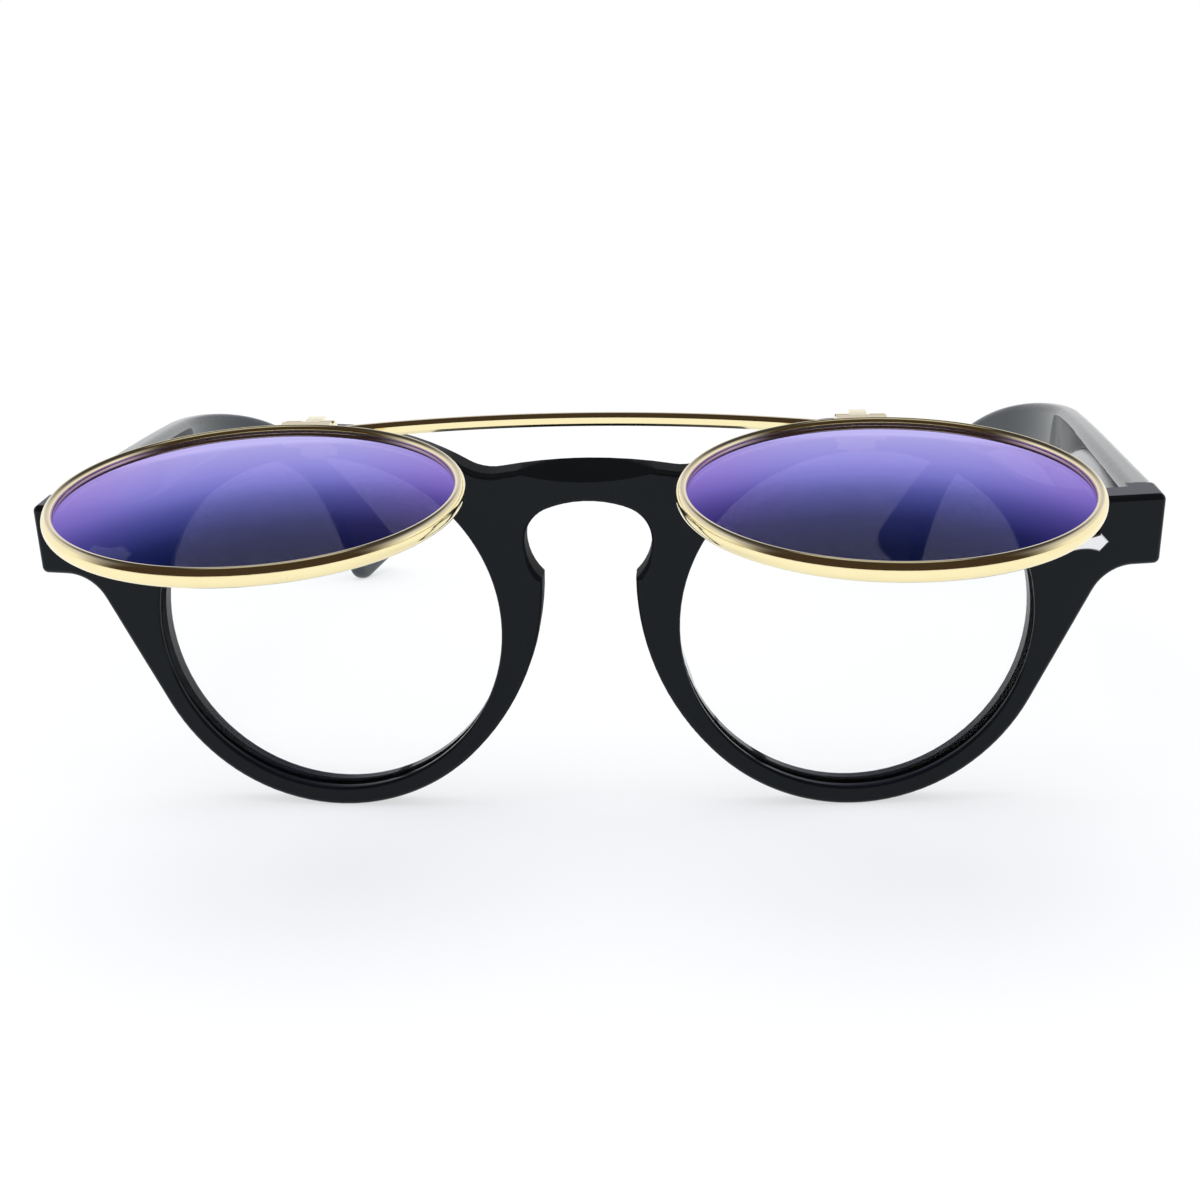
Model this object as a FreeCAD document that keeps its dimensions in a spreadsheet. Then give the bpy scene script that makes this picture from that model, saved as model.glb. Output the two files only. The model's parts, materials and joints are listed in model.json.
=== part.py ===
import FreeCAD, Part
import math
import os
import Sketcher

from FreeCAD import Placement, Rotation, Vector

# Flip up glasses, in millimetres. X runs to the wearer's left, Y from the lenses back to the ears, Z up.
# The glasses stand on their rims and temple tips at Z 0, with the flip-up front raised.

doc = FreeCAD.newDocument("flip_up_glasses")
sheet = doc.addObject("Spreadsheet::Sheet", "dims")

# Every driving size: alias, value, what it measures. Angles are in degrees.
sizes = [
    ("lens_opening", 43.6, "diameter of the hole in each rim"),
    ("bridge_width", 22.0, "between the two lens holes"),
    ("end_reach", 15.4, "lens hole to the outer end of the front"),
    ("rim_lower_band", 2.5, "rim below the lens hole"),
    ("rim_upper_band", 3.2, "rim above the lens hole"),
    ("brow_drop", 7.3, "centre of the rims' top line below the lens centres"),
    ("brow_inset", 1.9, "that centre nearer the nose than the lens centres"),
    ("front_depth", 4.2, "thickness of the front"),
    ("wrap_radius", 420.0, "curve of the front round the face"),
    ("front_tilt", 6.5, "lean of the front's top away from the face"),
    ("edge_round", 0.8, "rounding of the front's edges"),
    ("hole_round", 0.4, "rounding of the lens holes' edges"),
    ("front_forward", 48.66, "origin to the front's lower edge"),
    ("bridge_rise", 20.7, "bridge top above the lens centres"),
    ("bridge_arc", 60.0, "radius of the bridge's top line"),
    ("bridge_dip", 6.0, "radius of the dip between bridge and rim"),
    ("bridge_slope", 2.0, "drop of the bridge's sloped top, back to front"),
    ("bridge_slope_half", 12.0, "half the width of the bridge's sloped top"),
    ("keyhole_width", 15.4, "widest part of the keyhole"),
    ("keyhole_level", 11.2, "widest part above the lens centres"),
    ("keyhole_rise", 16.2, "keyhole top above the lens centres"),
    ("keyhole_corner", 4.4, "radius of the keyhole's shoulders"),
    ("notch_width", 11.4, "between the corners under the keyhole"),
    ("notch_level", 6.4, "those corners above the lens centres"),
    ("end_level", 14.8, "top of the end pieces above the lens centres"),
    ("end_height", 8.9, "height of the end pieces"),
    ("end_taper", 0.3, "end pieces narrower at the bottom by"),
    ("end_top_blend", 17.0, "hollow above the end pieces"),
    ("end_under_blend", 5.5, "hollow under the end pieces"),
    ("rim_flare", 27.0, "where the rim runs out towards the end piece"),
    ("pad_height", 16.5, "nose pads, top to bottom"),
    ("pad_thickness", 4.8, "nose pads, side to side"),
    ("pad_reach", 8.2, "nose pads, out of the rim's middle"),
    ("pad_inset", 1.6, "nose pad centres from the lens holes"),
    ("pad_drop", 9.0, "nose pad centres below the keyhole's corners"),
    ("pad_lean", 17.0, "lean of the nose pads towards the nose"),
    ("pad_splay", 6.0, "turn of the nose pads away from the nose"),
    ("lens_seat", 0.8, "depth of the grooves that hold the clear lenses"),
    ("lens_curve", 160.0, "front radius of the clear lenses"),
    ("lens_thickness", 1.8, "thickness of the clear lenses"),
    ("seat_play", 0.03, "room round pieces that are let into others"),
    ("joint_back", 6.7, "front's lower edge back to the temple joint"),
    ("butt_gap", 0.2, "gap of the temple joint"),
    ("end_block", 3.8, "solid end of the front before the temple joint"),
    ("block_play", 0.4, "room between that end and the hinge knuckles"),
    ("temple_thickness", 4.0, "temples at the joint"),
    ("tip_thickness", 3.0, "temples at the tip"),
    ("temple_round", 1.35, "rounding of the temples' edges"),
    ("temple_length", 144.6, "temples from the joint straight back to the tip"),
    ("temple_splay", 4.4, "turn of the temples' straight part away from the head"),
    ("temple_straight", 74.0, "length of that straight part"),
    ("temple_curl", 61.0, "radius of the temples' curve towards the head"),
    ("temple_tuck", 24.0, "turn of the temples' ends towards the head"),
    ("belly_back", 78.0, "widest part of the temples behind the joint"),
    ("belly_fall", 0.2, "fall of the top line to the widest part"),
    ("belly_depth", 13.8, "height of the temples there"),
    ("elbow_back", 107.0, "start of the ear bend behind the joint"),
    ("elbow_fall", 4.1, "fall of the top line to the ear bend"),
    ("elbow_depth", 7.2, "height of the temples there"),
    ("shank_back", 124.0, "middle of the bent part behind the joint"),
    ("shank_fall", 14.0, "fall of the top line to that middle"),
    ("shank_depth", 5.5, "width of the bent part, square to it"),
    ("shank_angle", 45.0, "slope of the bent part's top line"),
    ("heel_angle", 68.0, "slope of the bent part's lower line at the tip"),
    ("heel_back", 134.8, "lowest point of the tips behind the joint"),
    ("tip_angle", 20.0, "rise of the tips' end from that point"),
    ("tip_round", 3.2, "rounding of the tips' corners"),
    ("knuckle_radius", 1.3, "temple hinge knuckles"),
    ("knuckle_height", 1.5, "each temple hinge knuckle"),
    ("knuckle_play", 0.1, "gap between temple hinge knuckles"),
    ("knuckle_inset", 1.6, "hinge axis inside the temple's inner face"),
    ("leaf_length", 6.4, "hinge leaves, away from the axis"),
    ("leaf_thickness", 1.4, "hinge leaves"),
    ("leaf_proud", 0.6, "hinge leaves out of the plastic"),
    ("screw_radius", 0.6, "temple hinge screws"),
    ("screw_head_radius", 1.05, "heads of the temple hinge screws"),
    ("screw_head_height", 0.6, "heads of the temple hinge screws"),
    ("slot_width", 0.3, "slots and cross recesses of the screws"),
    ("slot_depth", 0.3, "slots and cross recesses of the screws"),
    ("pin_play", 0.05, "room round hinge screws, each side"),
    ("plaque_length", 6.0, "rivet plaques, tip to tip"),
    ("plaque_height", 2.3, "rivet plaques, top to bottom"),
    ("plaque_tip", 1.05, "length of the plaques' pointed ends"),
    ("plaque_hollow", 0.35, "depth of the plaques' hollow long sides"),
    ("plaque_rise", 0.5, "plaques out of the plastic"),
    ("plaque_bevel", 0.18, "bevel round the plaques"),
    ("rivet_radius", 0.35, "pins behind the plaques"),
    ("rivet_length", 1.4, "pins behind the plaques"),
    ("rivet_spacing", 2.6, "between the two pins of a plaque"),
    ("front_plaque_inset", 10.0, "front plaques from the ends"),
    ("front_plaque_level", 9.3, "front plaques above the lens centres"),
    ("temple_plaque_back", 14.0, "temple plaques behind the joint"),
    ("temple_plaque_drop", 1.4, "temple plaques below the hinge's middle"),
    ("flip_rim_outer", 44.0, "outer diameter of the flip rims"),
    ("flip_rim_wall", 1.2, "radial thickness of the flip rims"),
    ("flip_rim_width", 2.1, "front to back width of the flip rims"),
    ("flip_rim_crown", 0.55, "bulge of the flip rims' outer face"),
    ("flip_rim_lip", 0.55, "rounding of the flip rims' front inner edge"),
    ("flip_rim_hem", 0.3, "rounding of the flip rims' back inner edge"),
    ("flip_groove", 0.5, "depth of the flip rims' lens groove"),
    ("flip_spacing", 66.0, "between the centres of the flip rims"),
    ("flip_angle", 85.5, "flip-up front raised from the front's plane"),
    ("mirror_curve", 130.0, "front radius of the mirror lenses"),
    ("mirror_thickness", 0.9, "thickness of the mirror lenses"),
    ("mirror_set", 0.15, "mirror lenses behind the middle of the flip rims"),
    ("axis_forward", 3.75, "flip axis before the rim's face"),
    ("axis_level", 25.7, "flip axis above the lens centres"),
    ("axis_to_rim", 2.6, "flip axis to the top of the flip rims"),
    ("rim_forward", 1.2, "flip rims before the flip axis as they hang"),
    ("hinge_inset", 1.0, "flip hinges nearer the nose than the rims' centres"),
    ("lug_width", 2.0, "middle lug of each flip hinge"),
    ("lug_radius", 1.5, "round end of that lug"),
    ("lug_plate_width", 4.4, "lug's foot on the rim, across"),
    ("lug_plate_height", 2.2, "lug's foot on the rim, up"),
    ("lug_plate_thickness", 0.9, "lug's foot on the rim"),
    ("lug_plate_sunk", 0.4, "lug's foot sunk in the rim"),
    ("lug_plate_drop", 2.4, "middle of the lug's foot below the flip axis"),
    ("lug_neck", 2.4, "height of the lug's neck"),
    ("lug_web", 1.7, "lug's web behind the flip axis"),
    ("lug_pin_radius", 0.5, "pin of the lug in the rim"),
    ("lug_pin_length", 1.6, "pin of the lug in the rim"),
    ("ear_width", 1.7, "outer ears of each flip hinge"),
    ("ear_radius", 1.6, "round end of those ears"),
    ("ear_foot", 1.9, "front to back size of the ears' foot"),
    ("ear_play", 0.15, "gap between lug and ears"),
    ("foot_top", 1.85, "top of the ears' foot below the flip axis"),
    ("pivot_radius", 0.7, "flip hinge screws"),
    ("pivot_head_radius", 1.1, "heads of the flip hinge screws"),
    ("pivot_head_height", 0.5, "heads of the flip hinge screws"),
    ("bar_thickness", 1.2, "flip bar, in the plane of its arch"),
    ("bar_width", 1.6, "flip bar, front to back"),
    ("bar_rise", 3.8, "arch of the flip bar"),
    ("bar_seat_angle", 16.0, "flip bar's ends round the rims from their tops"),
    ("bar_bevel", 0.45, "bevel of the flip bar's edges"),
    ("solder_gap", 0.01, "soldered faces apart"),
    ("cut_over", 2.0, "how far a cutting shape runs past what it cuts"),
]
for row, (alias, value, note) in enumerate(sizes, start=1):
    sheet.set(f"A{row}", note)
    sheet.set(f"B{row}", str(value))
    sheet.setAlias(f"B{row}", alias)
doc.recompute()


def size(alias):
    return float(sheet.get(alias))


across = Vector(1, 0, 0)
back = Vector(0, 1, 0)
up = Vector(0, 0, 1)


# Small helpers: primitives bound to the sheet, and booleans.
def box(name, length, width, height, place):
    item = doc.addObject("Part::Box", name)
    item.setExpression("Length", length)
    item.setExpression("Width", width)
    item.setExpression("Height", height)
    item.Placement = place
    return item


def rod(name, radius, height, place):
    item = doc.addObject("Part::Cylinder", name)
    item.setExpression("Radius", radius)
    item.setExpression("Height", height)
    item.Placement = place
    return item


def ball(name, radius, place):
    item = doc.addObject("Part::Sphere", name)
    item.setExpression("Radius", radius)
    item.Placement = place
    return item


def cut(name, base, tool):
    item = doc.addObject("Part::Cut", name)
    item.Base = base
    item.Tool = tool
    return item


def common(name, base, tool):
    item = doc.addObject("Part::Common", name)
    item.Base = base
    item.Tool = tool
    return item


def fuse(name, pieces):
    item = doc.addObject("Part::MultiFuse", name)
    item.Shapes = pieces
    return item


def mirrored(name, source):
    item = doc.addObject("Part::Mirroring", name)
    item.Source = source
    item.Normal = across
    return item


def rounded(name, base, radius, wanted):
    doc.recompute()
    item = doc.addObject("Part::Fillet", name)
    item.Base = base
    edges = enumerate(base.Shape.Edges, start=1)
    item.Edges = [(number, radius, radius) for number, edge in edges if wanted(edge)]
    return item


def at(x, y, z):
    return Placement(Vector(x, y, z), Rotation())


def plane(body, role):
    return next(item for item in body.Origin.OriginFeatures if item.Role == role)


def new_sketch(body, name, role):
    sketch = body.newObject("Sketcher::SketchObject", name)
    sketch.AttachmentSupport = [(plane(body, role), "")]
    sketch.MapMode = "FlatFace"
    return sketch


def pad(body, name, sketch, length, turned=False, both_ways=False):
    item = body.newObject("PartDesign::Pad", name)
    item.Profile = sketch
    item.setExpression("Length", length)
    item.Reversed = turned
    item.Midplane = both_ways
    return item


def value_of(expression):
    answer = sheet.evalExpression(expression)
    return float(getattr(answer, "Value", answer))


# A closed sketch outline. Each corner is a pair of expressions that pins it in place, and a third
# entry, where there is one, is the radius of the arc that runs on to the next corner. A positive
# radius turns left and a negative one turns right.
def pinned_outline(sketch, corners):
    points = [Vector(value_of(corner[0]), value_of(corner[1]), 0) for corner in corners]
    for number, corner in enumerate(corners):
        start = points[number]
        end = points[(number + 1) % len(points)]
        if len(corner) == 2:
            sketch.addGeometry(Part.LineSegment(start, end))
            continue
        radius = value_of(corner[2])
        chord = end - start
        rise = math.sqrt(radius * radius - chord.Length ** 2 / 4)
        aside = Vector(-chord.y, chord.x, 0).normalize() * math.copysign(rise, radius)
        centre = (start + end) * 0.5 + aside
        first, last = (start, end) if radius > 0 else (end, start)
        angles = [math.atan2(point.y - centre.y, point.x - centre.x) for point in (first, last)]
        sketch.addGeometry(Part.ArcOfCircle(Part.Circle(centre, up, abs(radius)), *angles))
    ends = []
    for number, corner in enumerate(corners):
        turned = len(corner) == 3 and value_of(corner[2]) < 0
        ends.append((2, 1) if turned else (1, 2))
    for number, corner in enumerate(corners):
        following = (number + 1) % len(corners)
        meet = ("Coincident", number, ends[number][1], following, ends[following][0])
        sketch.addConstraint(Sketcher.Constraint(*meet))
        for kind, expression in (("DistanceX", corner[0]), ("DistanceY", corner[1])):
            where = (-1, 1, number, ends[number][0], value_of(expression))
            index = sketch.addConstraint(Sketcher.Constraint(kind, *where))
            sketch.setExpression(f"Constraints[{index}]", expression)
        if len(corner) == 3:
            radius = abs(value_of(corner[2]))
            index = sketch.addConstraint(Sketcher.Constraint("Radius", number, radius))
            sketch.setExpression(f"Constraints[{index}]", f"abs({corner[2]})")


# Places that several pieces share.
lens_u = (size("lens_opening") + size("bridge_width")) / 2
lens_v = size("rim_lower_band") + size("lens_opening") / 2
half_width = lens_u + size("lens_opening") / 2 + size("end_reach")
wrap = size("wrap_radius")


def wrap_sag(u):
    return wrap - math.sqrt(wrap * wrap - u * u)


def wrap_angle(u):
    return math.asin(u / wrap)


# The front leans, so its lowest points are on the rounded lower edges of the two rims.
tilt = math.radians(size("front_tilt"))
edge_lift = size("edge_round") * (math.sin(tilt) + math.cos(tilt) - 1)
front_base = Vector(0, -size("front_forward"), -wrap_sag(lens_u) * math.sin(tilt) - edge_lift)
front_place = Placement(front_base, Rotation(across, size("front_tilt")))


def on_front(u, depth, v):
    return front_place.multVec(Vector(u, depth, v))


# A frame on the front's curved face: X along the face, Y up it, Z straight out of it.
def face_place(u, v, depth=0.0):
    angle = wrap_angle(u)
    along = Vector(math.cos(angle), math.sin(angle), 0)
    out = Vector(math.sin(angle), -math.cos(angle), 0)
    turn = Rotation(along, up, out, "ZXY")
    point = Vector(u, wrap_sag(u), v) - out * depth
    return front_place.multiply(Placement(point, turn))


end_top = lens_v + size("end_level")
end_bottom = end_top - size("end_height")
joint_y = front_base.y + size("joint_back")
butt_y = joint_y + size("butt_gap")


# Height of the front's own level v where it meets the vertical temple joint.
def level_at_joint(v):
    depth = (size("joint_back") + v * math.sin(tilt)) / math.cos(tilt)
    return on_front(0, depth, v).z


joint_top = level_at_joint(end_top)
joint_bottom = level_at_joint(end_bottom)
hinge_z = (joint_top + joint_bottom) / 2
temple_inner = half_width - size("temple_thickness")
pivot_x = temple_inner - size("knuckle_inset")
pivot_y = joint_y + size("butt_gap") / 2


# Outline of the left half of the front, from the middle of the bridge's top line round clockwise.
def front_outline(sketch):
    lower = size("lens_opening") / 2 + size("rim_lower_band")
    upper = size("lens_opening") / 2 + size("rim_upper_band") + size("brow_drop")
    lens = Vector(lens_u, lens_v, 0)
    brow = lens - Vector(size("brow_inset"), size("brow_drop"), 0)
    bridge_top = Vector(0, lens_v + size("bridge_rise"), 0)
    bridge = bridge_top - Vector(0, size("bridge_arc"), 0)
    notch = Vector(size("notch_width") / 2, lens_v + size("notch_level"), 0)
    wide = Vector(size("keyhole_width") / 2, lens_v + size("keyhole_level"), 0)
    arch = Vector(0, lens_v + size("keyhole_rise"), 0)

    def touching(first, second, radius):
        return first + (second - first).normalize() * radius

    dip_reach = (size("bridge_arc") + size("bridge_dip"), upper + size("bridge_dip"))
    gap = brow - bridge
    along = (dip_reach[0] ** 2 - dip_reach[1] ** 2 + gap.Length ** 2) / (2 * gap.Length)
    aside = math.sqrt(dip_reach[0] ** 2 - along ** 2)
    gap.normalize()
    dip = bridge + gap * along + Vector(-gap.y, gap.x, 0) * aside
    end_blend = size("end_top_blend")
    climb = end_top + end_blend - brow.y
    hollow = Vector(brow.x + math.sqrt((upper + end_blend) ** 2 - climb ** 2), end_top + end_blend, 0)
    flare = math.radians(size("rim_flare"))
    flare_out = Vector(math.cos(flare), -math.sin(flare), 0)
    under_v = end_bottom - size("end_under_blend")
    under_gap = lower + size("end_under_blend") + (under_v - lens_v) * math.sin(flare)
    under = Vector(lens_u + under_gap / math.cos(flare), under_v, 0)
    span = lens - notch
    nasal_radius = (span.Length ** 2 - lower ** 2) / (2 * (span.x - lower))
    nasal = notch + Vector(nasal_radius, 0, 0)
    side = wide - notch
    side_radius = side.Length ** 2 / (2 * side.x)
    key_side = wide - Vector(side_radius, 0, 0)
    corner = size("keyhole_corner")
    key_corner = wide - Vector(corner, 0, 0)
    key_rise = arch.y - wide.y
    top_radius = (key_corner.x ** 2 + key_rise ** 2 - corner ** 2) / (2 * (key_rise - corner))
    key_top = arch - Vector(0, top_radius, 0)

    points = [
        bridge_top,
        touching(bridge, dip, size("bridge_arc")),
        touching(brow, dip, upper),
        touching(brow, hollow, upper),
        Vector(hollow.x, end_top, 0),
        Vector(half_width, end_top, 0),
        Vector(half_width - size("end_taper"), end_bottom, 0),
        Vector(under.x, end_bottom, 0),
        under - flare_out * size("end_under_blend"),
        lens + flare_out * lower,
        touching(lens, nasal, -lower),
        notch,
        wide,
        touching(key_top, key_corner, top_radius),
        arch,
    ]
    centres = {0: bridge, 1: dip, 2: brow, 3: hollow, 7: under, 9: lens, 10: nasal}
    centres.update({11: key_side, 12: key_corner, 13: key_top})
    left_turns = (1, 3, 7, 11, 12, 13)
    ends = []
    for number, start in enumerate(points):
        end = points[(number + 1) % len(points)]
        if number not in centres:
            sketch.addGeometry(Part.LineSegment(end, start))
            ends.append((2, 1))
            continue
        centre = centres[number]
        first, last = (start, end) if number in left_turns else (end, start)
        angles = [math.atan2(point.y - centre.y, point.x - centre.x) for point in (first, last)]
        circle = Part.Circle(centre, up, (start - centre).Length)
        sketch.addGeometry(Part.ArcOfCircle(circle, *angles))
        ends.append((1, 2) if number in left_turns else (2, 1))

    smooth = (0, 1, 2, 3, 6, 7, 8, 9, 11, 12)
    for number in range(len(points)):
        following = (number + 1) % len(points)
        kind = "Tangent" if number in smooth else "Coincident"
        meet = (number, ends[number][1], following, ends[following][0])
        sketch.addConstraint(Sketcher.Constraint(kind, *meet))
    centre_point = 3
    for arc in (0, 13):
        sketch.addConstraint(Sketcher.Constraint("PointOnObject", arc, centre_point, -2))
    for point in ends[14]:
        sketch.addConstraint(Sketcher.Constraint("PointOnObject", 14, point, -2))
    for line in (4, 6):
        sketch.addConstraint(Sketcher.Constraint("Horizontal", line))
    for arc, point in ((10, ends[10][1]), (11, ends[11][1])):
        sketch.addConstraint(Sketcher.Constraint("Horizontal", arc, centre_point, arc, point))

    lens_u_cell = "(dims.lens_opening + dims.bridge_width) / 2"
    lens_v_cell = "dims.rim_lower_band + dims.lens_opening / 2"
    half_cell = "dims.lens_opening + dims.bridge_width / 2 + dims.end_reach"
    end_top_cell = f"{lens_v_cell} + dims.end_level"
    pinned = [
        ("lens_u", "DistanceX", (9, centre_point), lens_u_cell),
        ("lens_v", "DistanceY", (9, centre_point), lens_v_cell),
        ("brow_u", "DistanceX", (2, centre_point), f"{lens_u_cell} - dims.brow_inset"),
        ("brow_v", "DistanceY", (2, centre_point), f"{lens_v_cell} - dims.brow_drop"),
        ("bridge_top", "DistanceY", (0, ends[0][0]), f"{lens_v_cell} + dims.bridge_rise"),
        ("end_top", "DistanceY", (4, ends[4][1]), end_top_cell),
        ("end_top_u", "DistanceX", (4, ends[4][1]), half_cell),
        ("end_bottom", "DistanceY", (5, ends[5][1]), f"{end_top_cell} - dims.end_height"),
        ("end_bottom_u", "DistanceX", (5, ends[5][1]), f"{half_cell} - dims.end_taper"),
        ("notch_u", "DistanceX", (10, ends[10][1]), "dims.notch_width / 2"),
        ("notch_v", "DistanceY", (10, ends[10][1]), f"{lens_v_cell} + dims.notch_level"),
        ("keyhole_u", "DistanceX", (11, ends[11][1]), "dims.keyhole_width / 2"),
        ("keyhole_v", "DistanceY", (11, ends[11][1]), f"{lens_v_cell} + dims.keyhole_level"),
        ("keyhole_top", "DistanceY", (13, ends[13][1]), f"{lens_v_cell} + dims.keyhole_rise"),
    ]
    for name, kind, (geometry, point), expression in pinned:
        where = (-1, 1, geometry, point, value_of(expression))
        index = sketch.addConstraint(Sketcher.Constraint(kind, *where))
        sketch.renameConstraint(index, name)
        sketch.setExpression(f"Constraints.{name}", expression)
    arcs = [
        ("bridge_radius", 0, "dims.bridge_arc"),
        ("dip_radius", 1, "dims.bridge_dip"),
        ("upper_radius", 2, "dims.lens_opening / 2 + dims.rim_upper_band + dims.brow_drop"),
        ("hollow_radius", 3, "dims.end_top_blend"),
        ("under_radius", 7, "dims.end_under_blend"),
        ("lower_radius", 9, "dims.lens_opening / 2 + dims.rim_lower_band"),
        ("corner_radius", 12, "dims.keyhole_corner"),
    ]
    for name, arc, expression in arcs:
        index = sketch.addConstraint(Sketcher.Constraint("Radius", arc, value_of(expression)))
        sketch.renameConstraint(index, name)
        sketch.setExpression(f"Constraints.{name}", expression)
    flare_line = math.pi / 2 - flare
    index = sketch.addConstraint(Sketcher.Constraint("Angle", 8, flare_line))
    sketch.renameConstraint(index, "flare")
    sketch.setExpression("Constraints.flare", "90 deg - dims.rim_flare * 1 deg")


# A meniscus lens with its front vertex at the place's origin and its axis out along the place's Z.
def meniscus(name, radius, curve, thickness, place):
    centre = place.multiply(at(0, 0, -value_of(curve)))
    front_face = ball(f"{name}_front", curve, centre)
    back_face = ball(f"{name}_back", f"{curve} - {thickness}", centre)
    shell = cut(f"{name}_shell", front_face, back_face)
    depth = value_of(thickness) + value_of(radius) ** 2 / value_of(curve)
    drum_place = place.multiply(at(0, 0, -depth))
    drum = rod(f"{name}_drum", radius, f"{thickness} + ({radius})^2 / {curve} + dims.cut_over", drum_place)
    return common(name, drum, shell)


# Along its axis, how far a meniscus reaches from its front face at one radius to its back at another.
def edge_cell(front_radius, back_radius, curve, thickness):
    return f"sqrt(({curve})^2 - {front_radius}^2) - sqrt(({curve} - {thickness})^2 - {back_radius}^2)"


# How far behind its front vertex a meniscus has the front and back of its edge.
def edge_depths(radius, curve, thickness):
    front_edge = curve - math.sqrt(curve ** 2 - radius ** 2)
    back_edge = curve - math.sqrt((curve - thickness) ** 2 - radius ** 2)
    return front_edge, back_edge


# Rivet plaque: a pointed plate with hollow long sides, a bevelled rim and two pins behind it.
def plaque(name, place):
    body = doc.addObject("PartDesign::Body", name)
    tip_x = "dims.plaque_length / 2"
    shoulder_x = "(dims.plaque_length / 2 - dims.plaque_tip)"
    shoulder_y = "dims.plaque_height / 2"
    hollow = f"-(({shoulder_x})^2 + dims.plaque_hollow^2) / (2 * dims.plaque_hollow)"
    sketch = new_sketch(body, f"{name}_outline", "XY_Plane")
    pinned_outline(
        sketch,
        [
            (tip_x, "0"),
            (shoulder_x, shoulder_y, hollow),
            (f"-{shoulder_x}", shoulder_y),
            (f"-{tip_x}", "0"),
            (f"-{shoulder_x}", f"-{shoulder_y}", hollow),
            (shoulder_x, f"-{shoulder_y}"),
        ],
    )
    plate = pad(body, f"{name}_plate", sketch, "dims.plaque_rise")
    doc.recompute()
    top = max(plate.Shape.Faces, key=lambda face: face.CenterOfMass.z)
    rim = [number for number, edge in enumerate(plate.Shape.Edges, start=1)
           if any(edge.isSame(other) for other in top.Edges)]
    bevel = body.newObject("PartDesign::Chamfer", f"{name}_bevel")
    bevel.Base = (plate, [f"Edge{number}" for number in rim])
    bevel.setExpression("Size", "dims.plaque_bevel")
    pins = new_sketch(body, f"{name}_pin_circles", "XY_Plane")
    for number, side in enumerate((1, -1)):
        x = side * size("rivet_spacing") / 2
        pins.addGeometry(Part.Circle(Vector(x, 0, 0), up, size("rivet_radius")))
        pins.addConstraint(Sketcher.Constraint("PointOnObject", number, 3, -1))
        index = pins.addConstraint(Sketcher.Constraint("DistanceX", -1, 1, number, 3, x))
        pins.setExpression(f"Constraints[{index}]", f"{side} * dims.rivet_spacing / 2")
        index = pins.addConstraint(Sketcher.Constraint("Radius", number, size("rivet_radius")))
        pins.setExpression(f"Constraints[{index}]", "dims.rivet_radius")
    pad(body, f"{name}_pins", pins, "dims.rivet_length", turned=True)
    body.Placement = place
    return body


# The two holes that take a plaque's pins.
def plaque_holes(name, place):
    holes = []
    deep = "dims.rivet_length + dims.seat_play + dims.cut_over"
    for side in (1, -1):
        x = side * size("rivet_spacing") / 2
        z = -size("rivet_length") - size("seat_play")
        hole = rod(f"{name}_hole", "dims.rivet_radius + dims.seat_play", deep, place.multiply(at(x, 0, z)))
        holes.append(hole)
    return holes


# Clear lenses: each sits in a groove at half the front's depth.
lens_radius = "(dims.lens_opening / 2 + dims.lens_seat)"
lens_groove_cell = edge_cell("(dims.lens_opening / 2)", lens_radius, "dims.lens_curve", "dims.lens_thickness")
lens_edge = edge_depths(value_of(lens_radius), size("lens_curve"), size("lens_thickness"))
lens_set = size("front_depth") / 2 - sum(lens_edge) / 2
left_clear_lens = meniscus(
    "left_clear_lens",
    lens_radius,
    "dims.lens_curve",
    "dims.lens_thickness",
    face_place(lens_u, lens_v, lens_set),
)

# Rivet plaques of the front.
front_plaque_place = face_place(half_width - size("front_plaque_inset"), lens_v + size("front_plaque_level"))
left_front_plaque = plaque("left_front_plaque", front_plaque_place)

# Lug of the left flip hinge, with its foot let into the rim's face and a pin behind the foot.
flip_u = size("flip_spacing") / 2
hinge_u = flip_u - size("hinge_inset")
axis_v = lens_v + size("axis_level")
axis_depth = wrap_sag(hinge_u) - size("axis_forward")
lug_place = front_place.multiply(at(hinge_u, axis_depth, axis_v))
turn_across = Rotation(up, across)
turn_back = Rotation(up, back)


def lug_part(x, y, z, turn=Rotation()):
    return lug_place.multiply(Placement(Vector(x, y, z), turn))


foot_front = size("axis_forward") + size("lug_plate_sunk") - size("lug_plate_thickness")
foot_z = -size("lug_plate_drop") - size("lug_plate_height") / 2
lug_left = -size("lug_width") / 2
lug_barrel = rod("lug_barrel", "dims.lug_radius", "dims.lug_width", lug_part(lug_left, 0, 0, turn_across))
lug_neck = box(
    "lug_neck",
    "dims.lug_width",
    "dims.axis_forward + dims.lug_plate_sunk - dims.lug_plate_thickness / 2",
    "dims.lug_neck",
    lug_part(lug_left, 0, -size("lug_neck") / 2),
)
lug_web = box(
    "lug_web",
    "dims.lug_width",
    "dims.axis_forward + dims.lug_plate_sunk - dims.lug_plate_thickness / 2 - dims.lug_web",
    "dims.lug_plate_drop + dims.lug_plate_height / 2",
    lug_part(lug_left, size("lug_web"), foot_z),
)
lug_foot = box(
    "lug_foot",
    "dims.lug_plate_width",
    "dims.lug_plate_thickness",
    "dims.lug_plate_height",
    lug_part(-size("lug_plate_width") / 2, foot_front, foot_z),
)
lug_pin = rod(
    "lug_pin",
    "dims.lug_pin_radius",
    "dims.lug_plate_thickness + dims.lug_pin_length",
    lug_part(0, foot_front, -size("lug_plate_drop"), turn_back),
)
lug_blank = fuse("lug_blank", [lug_barrel, lug_neck, lug_web, lug_foot, lug_pin])
lug_bore = rod(
    "lug_bore",
    "dims.pivot_radius + dims.pin_play",
    "dims.lug_width + 2 * dims.cut_over",
    lug_part(lug_left - size("cut_over"), 0, 0, turn_across),
)
left_flip_bracket = cut("left_flip_bracket", lug_blank, lug_bore)

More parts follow.
